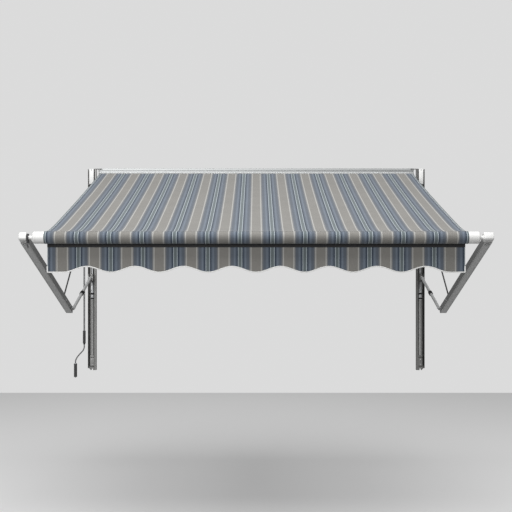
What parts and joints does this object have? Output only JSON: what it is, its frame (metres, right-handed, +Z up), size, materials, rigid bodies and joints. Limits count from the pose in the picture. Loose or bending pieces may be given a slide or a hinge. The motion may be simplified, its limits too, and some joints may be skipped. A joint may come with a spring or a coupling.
{
  "type": "fabric awning",
  "caption": "Striped fabric awning with scalloped valance on a roller, two folding arms with gas struts, wall channels and a stored hand crank.",
  "frame": {"origin": "centre of the awning rail on its back face, which lies on the wall", "axes": "+X to the right along the rail, +Z up, the wall is the plane y = 0 and the awning stands out towards -Y"},
  "size_m": [3.5563, 2.486, 2.0745],
  "materials": {
    "aluminium": "satin anodised",
    "channel_grey": "satin grey paint",
    "white_plastic": "semi-gloss white",
    "steel": "zinc plated",
    "black_plastic": "fine matt",
    "grip_grey": "matt dark grey",
    "canopy_cloth": "woven striped cloth",
    "piping": "white braid"
  },
  "bodies": {
    "root": {"awning_rail": "aluminium", "rail_end_cap_left": "white_plastic", "rail_end_cap_right": "white_plastic", "canopy_keder": "piping", "canopy": "canopy_cloth", "wall_channel_left": "channel_grey", "wall_channel_right": "channel_grey", "lower_bar_left": "channel_grey", "lower_bar_right": "channel_grey", "upper_bar_left": "aluminium", "upper_bar_right": "aluminium", "channel_clip_left": "aluminium", "channel_clip_right": "aluminium", "foot_bracket_left": "channel_grey", "foot_bracket_right": "channel_grey", "top_bracket_left": "white_plastic", "top_bracket_right": "white_plastic", "link_bracket_left": "steel", "link_bracket_right": "steel", "link_pin_left": "steel", "link_pin_right": "steel", "strut_bracket_left": "steel", "strut_bracket_right": "steel", "strut_top_pin_left": "steel", "strut_top_pin_right": "steel", "crank_pole": "aluminium", "crank_hook": "steel", "crank_rod": "steel", "crank_clip": "black_plastic"},
    "link_left": {"lower_link_left": "aluminium", "link_collar_left": "black_plastic"},
    "arm_left": {"main_arm_left": "aluminium", "arm_end_cap_left": "black_plastic", "elbow_pin_left": "steel", "arm_head_left": "white_plastic", "crank_gearbox": "black_plastic"},
    "strut_cylinder_left": {"strut_cylinder_left": "black_plastic"},
    "strut_rod_left": {"strut_rod_left": "steel", "strut_pin_left": "steel"},
    "link_right": {"lower_link_right": "aluminium", "link_collar_right": "black_plastic"},
    "arm_right": {"main_arm_right": "aluminium", "arm_end_cap_right": "black_plastic", "elbow_pin_right": "steel", "arm_head_right": "white_plastic"},
    "strut_cylinder_right": {"strut_cylinder_right": "black_plastic"},
    "strut_rod_right": {"strut_rod_right": "steel", "strut_pin_right": "steel"},
    "roller": {"roller_tube": "aluminium", "canopy_roll": "canopy_cloth", "roller_drum_left": "white_plastic", "roller_drum_right": "white_plastic", "roller_axle_left": "white_plastic", "roller_axle_right": "white_plastic"},
    "valance_hang": {"valance": "canopy_cloth", "valance_piping": "piping"},
    "crank_eye": {"crank_eye": "steel"},
    "upper_grip": {"crank_upper_grip": "grip_grey"},
    "lower_grip": {"crank_lower_grip": "grip_grey"}
  },
  "joints": [
    {"name": "link_fold_left", "type": "hinge", "parent": "root", "child": "link_left", "pos_m": [-1.632, -0.1, -1.0585], "axis": [1, 0, 0], "range_deg": [0, 69.52], "deforming": ["canopy"]},
    {"name": "elbow_fold_left", "type": "hinge", "parent": "link_left", "child": "arm_left", "pos_m": [-1.664, -0.8, -1.32], "axis": [-1, 0, 0], "range_deg": [0, 139.16]},
    {"name": "strut_swing_left", "type": "hinge", "parent": "root", "child": "strut_cylinder_left", "pos_m": [-1.711, -0.095, -0.559], "axis": [1, 0, 0], "range_deg": [0, 54.31]},
    {"name": "strut_travel_left", "type": "slide", "parent": "strut_cylinder_left", "child": "strut_rod_left", "axis": [0, 0.8146, 0.58], "range_m": [0, 0.16756]},
    {"name": "link_fold_right", "type": "hinge", "parent": "root", "child": "link_right", "pos_m": [1.632, -0.1, -1.0585], "axis": [1, 0, 0], "range_deg": [0, 69.52]},
    {"name": "elbow_fold_right", "type": "hinge", "parent": "link_right", "child": "arm_right", "pos_m": [1.664, -0.8, -1.32], "axis": [-1, 0, 0], "range_deg": [0, 139.16]},
    {"name": "strut_swing_right", "type": "hinge", "parent": "root", "child": "strut_cylinder_right", "pos_m": [1.711, -0.095, -0.559], "axis": [1, 0, 0], "range_deg": [0, 54.31]},
    {"name": "strut_travel_right", "type": "slide", "parent": "strut_cylinder_right", "child": "strut_rod_right", "axis": [0, 0.8146, 0.58], "range_m": [0, 0.16756]},
    {"name": "roller_spin", "type": "hinge", "parent": "arm_left", "child": "roller", "pos_m": [0, -2.44, -0.71], "axis": [1, 0, 0], "range_deg": [0, 3310.6]},
    {"name": "valance_level", "type": "hinge", "parent": "arm_left", "child": "valance_hang", "pos_m": [0, -2.44, -0.71], "axis": [1, 0, 0], "range_deg": [0, 69.65]},
    {"name": "crank_eye_spin", "type": "hinge", "parent": "arm_left", "child": "crank_eye", "pos_m": [-1.6785, -2.44, -0.7503], "axis": [0, 0, 1], "continuous": true},
    {"name": "upper_grip_spin", "type": "hinge", "parent": "root", "child": "upper_grip", "pos_m": [-1.709, -0.025, -1.65], "axis": [0, 0, 1], "continuous": true},
    {"name": "lower_grip_spin", "type": "hinge", "parent": "root", "child": "lower_grip", "pos_m": [-1.796, -0.025, -1.98], "axis": [0, 0, 1], "continuous": true}
  ],
  "couplings": [
    {"joint": "elbow_fold_left", "follows": "link_fold_left", "ratio": 2.0012},
    {"joint": "link_fold_right", "follows": "link_fold_left", "ratio": 1},
    {"joint": "elbow_fold_right", "follows": "link_fold_left", "ratio": 2.0012},
    {"joint": "strut_swing_left", "follows": "link_fold_left", "ratio": 0.78056},
    {"joint": "strut_travel_left", "follows": "link_fold_left", "m_per_rad": 0.13769},
    {"joint": "strut_swing_right", "follows": "link_fold_left", "ratio": 0.78056},
    {"joint": "strut_travel_right", "follows": "link_fold_left", "m_per_rad": 0.13769},
    {"joint": "roller_spin", "follows": "link_fold_left", "ratio": 47.609},
    {"joint": "valance_level", "follows": "link_fold_left", "ratio": 1.0012}
  ]
}
